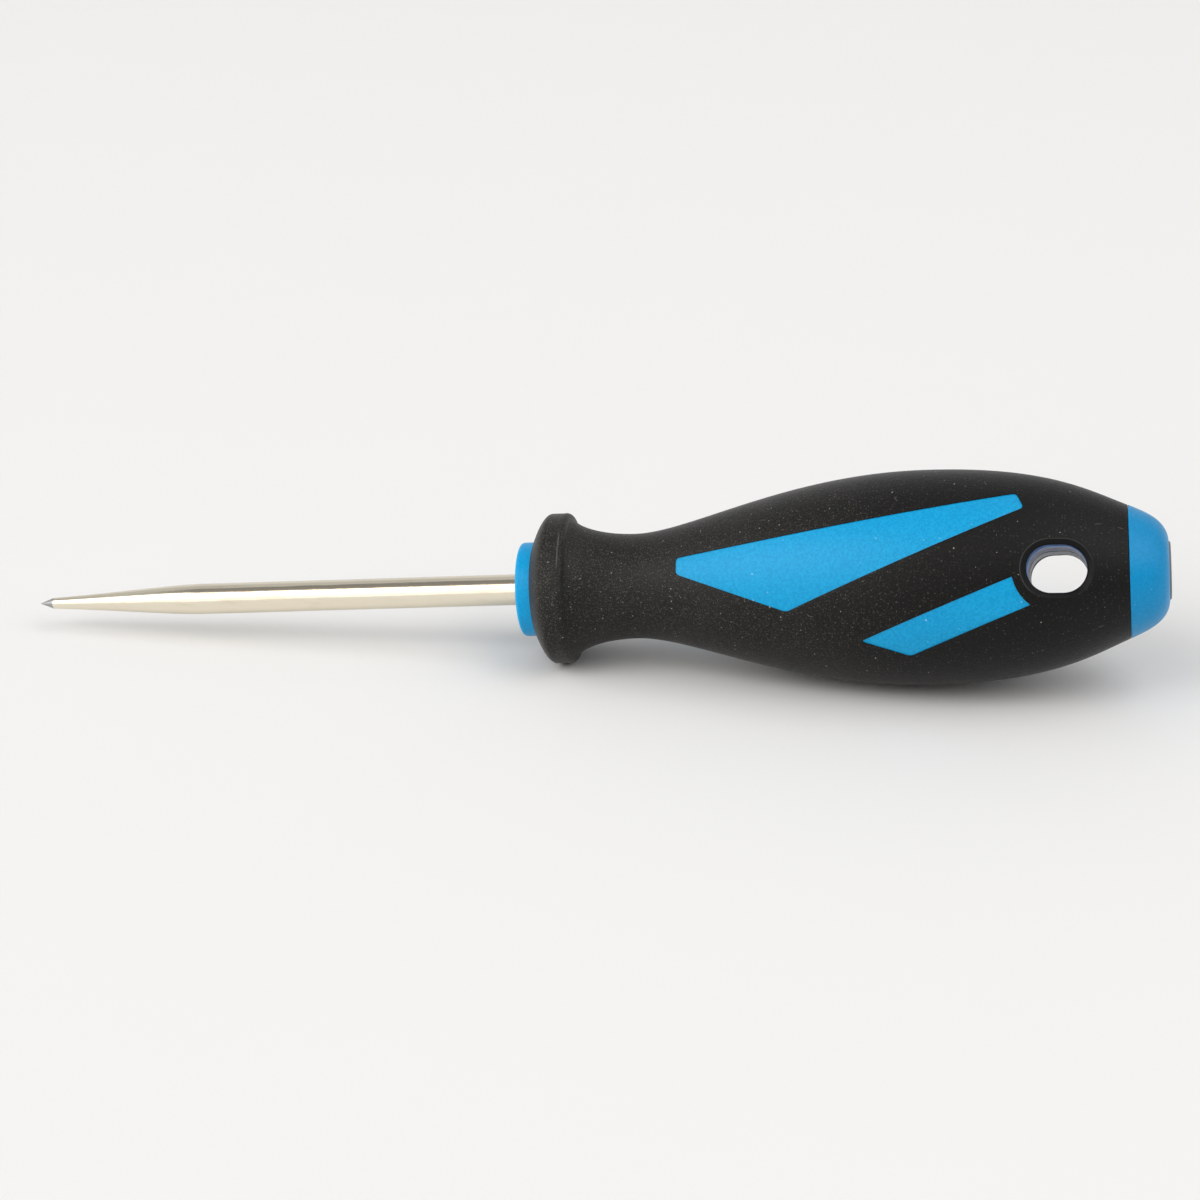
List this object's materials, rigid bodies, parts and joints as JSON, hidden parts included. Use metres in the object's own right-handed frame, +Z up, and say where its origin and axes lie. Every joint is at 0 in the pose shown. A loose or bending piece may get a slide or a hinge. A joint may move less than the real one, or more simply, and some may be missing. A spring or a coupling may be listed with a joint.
{
  "type": "hand awl",
  "caption": "Round-bladed hand awl with a ground point, a flared guard, a soft-skinned bellied grip with hard panels and a hanging hole near the butt.",
  "frame": {"origin": "on the bench, under the middle of the bounding box", "axes": "+X from the point to the butt, +Z up from the bench; the awl lies at rest on the rim of its guard and on its belly, so its axis rises 5.03 degrees toward the butt, and the hanging hole runs near the Y axis, 25 degrees higher on the -Y side"},
  "size_m": [0.1804, 0.0332, 0.0338],
  "materials": {
    "blade_steel": "nickel-plated, satin",
    "clear_plastic": "clear moulding, milky in the hole",
    "blue_plastic": "satin moulding",
    "cap_plastic": "satin moulding, deeper blue",
    "black_skin": "fine-grained soft moulding",
    "disc_plastic": "matt grey moulding"
  },
  "bodies": {
    "root": {"blade": "blade_steel", "clear_core": "clear_plastic", "front_collar": "blue_plastic", "body_shell": "blue_plastic", "grip_sleeve": "black_skin", "end_cap": "cap_plastic", "butt_disc": "disc_plastic"}
  },
  "joints": []
}
